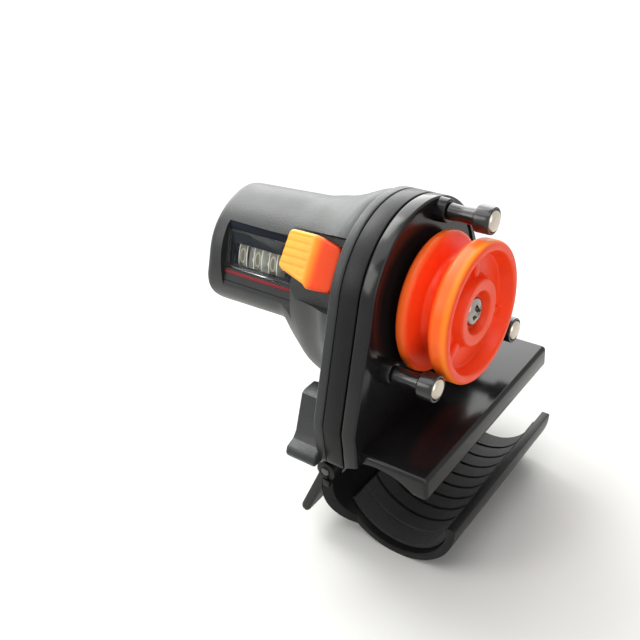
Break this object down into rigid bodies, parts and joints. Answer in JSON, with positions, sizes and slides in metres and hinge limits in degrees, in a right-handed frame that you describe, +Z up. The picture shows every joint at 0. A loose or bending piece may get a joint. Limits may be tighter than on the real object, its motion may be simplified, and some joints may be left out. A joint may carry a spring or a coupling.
{
  "type": "fishing line counter",
  "caption": "Clip-on fishing line counter: arched black case, grooved orange measuring wheel, drum window, reset knob, spring clamp for a rod.",
  "frame": {"origin": "on the axis of the gripped rod, at the middle of the clamp's length, under the saddle", "axes": "+Y along the rod, +Z up from the rod to the case, +X along the wheel's axis from the counter barrel to the measuring wheel"},
  "size_m": [0.0849, 0.0762, 0.0922],
  "materials": {
    "shell_black": "fine grained matte",
    "case_black": "satin",
    "front_black": "gloss",
    "clear_window": "clear polished plastic",
    "strip_red": "satin print strip",
    "wheel_orange": "semi gloss moulded",
    "knob_amber": "satin moulded",
    "post_black": "satin",
    "steel": "turned",
    "bright_steel": "polished dome",
    "brass": "turned",
    "gear_white": "natural acetal",
    "drum_white": "moulded with printed figures",
    "pinion_amber": "natural",
    "jaw_black": "satin",
    "grip_rubber": "soft matte"
  },
  "bodies": {
    "housing": {"rear_shell": "shell_black", "gear_case": "case_black", "front_case": "front_black", "window_pane": "clear_window", "red_strip": "strip_red", "wheel_bush": "brass", "idler_post_1": "steel", "idler_post_2": "steel", "pinion_shaft": "steel", "comb_rod": "steel", "guide_pin_top": "bright_steel", "guide_pin_near": "bright_steel", "guide_pin_far": "bright_steel", "guide_collar_top": "post_black", "guide_collar_near": "post_black", "guide_collar_far": "post_black", "saddle_pad": "grip_rubber", "pivot_pin": "steel", "clamp_spring": "steel", "reset_spring": "steel", "case_screw_near": "steel", "case_screw_far": "steel"},
    "line_wheel": {"line_wheel": "wheel_orange", "wheel_shaft": "steel", "wheel_screw": "steel", "input_pinion": "brass"},
    "idler_1": {"idler_gear_1": "gear_white"},
    "idler_2": {"idler_gear_2": "gear_white"},
    "units_counter": {"counter_gear": "gear_white", "counter_shaft": "steel", "units_drum": "drum_white"},
    "tens_counter": {"tens_drum": "drum_white"},
    "hundreds_counter": {"hundreds_drum": "drum_white"},
    "transfer_1": {"transfer_pinion_1": "pinion_amber"},
    "transfer_2": {"transfer_pinion_2": "pinion_amber"},
    "roller_top": {"guide_roller_top": "post_black"},
    "roller_near": {"guide_roller_near": "post_black"},
    "roller_far": {"guide_roller_far": "post_black"},
    "jaw": {"clamp_jaw": "jaw_black", "jaw_pad": "grip_rubber"},
    "lever": {"reset_lever": "knob_amber"},
    "comb": {"reset_comb": "pinion_amber"}
  },
  "joints": [
    {"name": "wheel_turn", "type": "hinge", "parent": "housing", "child": "line_wheel", "pos_m": [-0.0032, 0, 0.047], "axis": [1, 0, 0], "continuous": true},
    {"name": "idler_1_turn", "type": "hinge", "parent": "housing", "child": "idler_1", "pos_m": [-0.0032, 0.00312, 0.05865], "axis": [1, 0, 0], "continuous": true},
    {"name": "idler_2_turn", "type": "hinge", "parent": "housing", "child": "idler_2", "pos_m": [-0.0032, 0.00961, 0.04848], "axis": [1, 0, 0], "continuous": true},
    {"name": "units_turn", "type": "hinge", "parent": "housing", "child": "units_counter", "pos_m": [-0.0032, -0.00244, 0.04889], "axis": [1, 0, 0], "continuous": true},
    {"name": "tens_turn", "type": "hinge", "parent": "housing", "child": "tens_counter", "pos_m": [-0.0032, -0.00244, 0.04889], "axis": [1, 0, 0], "continuous": true},
    {"name": "hundreds_turn", "type": "hinge", "parent": "housing", "child": "hundreds_counter", "pos_m": [-0.0032, -0.00244, 0.04889], "axis": [1, 0, 0], "continuous": true},
    {"name": "transfer_1_turn", "type": "hinge", "parent": "housing", "child": "transfer_1", "pos_m": [-0.0032, 0.00822, 0.04501], "axis": [1, 0, 0], "continuous": true},
    {"name": "transfer_2_turn", "type": "hinge", "parent": "housing", "child": "transfer_2", "pos_m": [-0.0032, 0.00822, 0.04501], "axis": [1, 0, 0], "continuous": true},
    {"name": "roller_top_turn", "type": "hinge", "parent": "housing", "child": "roller_top", "pos_m": [-0.0032, 0.0072, 0.0689], "axis": [1, 0, 0], "continuous": true},
    {"name": "roller_near_turn", "type": "hinge", "parent": "housing", "child": "roller_near", "pos_m": [-0.0032, -0.0202, 0.0367], "axis": [1, 0, 0], "continuous": true},
    {"name": "roller_far_turn", "type": "hinge", "parent": "housing", "child": "roller_far", "pos_m": [-0.0032, 0.02, 0.03], "axis": [1, 0, 0], "continuous": true},
    {"name": "jaw_open", "type": "hinge", "parent": "housing", "child": "jaw", "pos_m": [-0.0174, 0, 0.0066], "axis": [0, 1, 0], "range_deg": [-8, 35], "stiffness_Nm_per_rad": 0.5, "springref_deg": -42.4, "deforming": ["clamp_spring"]},
    {"name": "reset_press", "type": "hinge", "parent": "housing", "child": "lever", "pos_m": [-0.0282, -0.00244, 0.04889], "axis": [1, 0, 0], "range_deg": [0, 11], "stiffness_Nm_per_rad": 0.15, "springref_deg": -8.59, "deforming": ["reset_spring"]},
    {"name": "comb_swing", "type": "hinge", "parent": "housing", "child": "comb", "pos_m": [-0.0282, -0.00351, 0.03674], "axis": [1, 0, 0], "range_deg": [-16.5, 0]}
  ],
  "couplings": [
    {"joint": "idler_1_turn", "follows": "wheel_turn", "ratio": -0.2},
    {"joint": "idler_2_turn", "follows": "wheel_turn", "ratio": 0.04},
    {"joint": "units_turn", "follows": "wheel_turn", "ratio": -0.008},
    {"joint": "tens_turn", "follows": "wheel_turn", "ratio": -0.0008},
    {"joint": "hundreds_turn", "follows": "wheel_turn", "ratio": -0.00008},
    {"joint": "transfer_1_turn", "follows": "wheel_turn", "ratio": 0.002},
    {"joint": "transfer_2_turn", "follows": "wheel_turn", "ratio": 0.0002},
    {"joint": "comb_swing", "follows": "reset_press", "ratio": -1.5}
  ]
}
